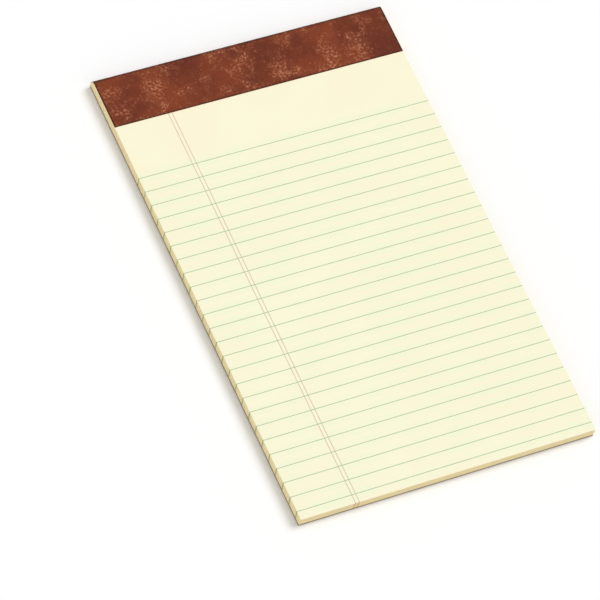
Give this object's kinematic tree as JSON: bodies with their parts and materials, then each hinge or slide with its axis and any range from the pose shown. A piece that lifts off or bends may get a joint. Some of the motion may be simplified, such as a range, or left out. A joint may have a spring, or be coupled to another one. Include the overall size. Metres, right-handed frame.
{
  "type": "legal pad",
  "caption": "Top-bound ruled writing pad: a flat block of pale yellow sheets on a card back, with a brown leather-look strip folded over the head.",
  "frame": {"origin": "middle of the pad's footprint, on the plane it rests on", "axes": "+X across the page to its right edge, +Y up the page to the bound head, +Z out of the written face"},
  "size_m": [0.127, 0.2034, 0.0049],
  "materials": {
    "page_paper": "matte, pale canary yellow, ruled in grey-green with a double margin line",
    "grey_board": "matte grey-brown chipboard",
    "binding_paper": "satin brown paper, marbled and embossed like leather",
    "staple_wire": "bright round wire"
  },
  "bodies": {
    "root": {"writing_sheets": "page_paper", "backing_board": "grey_board", "binding_strip": "binding_paper", "staples": "staple_wire"}
  },
  "joints": []
}
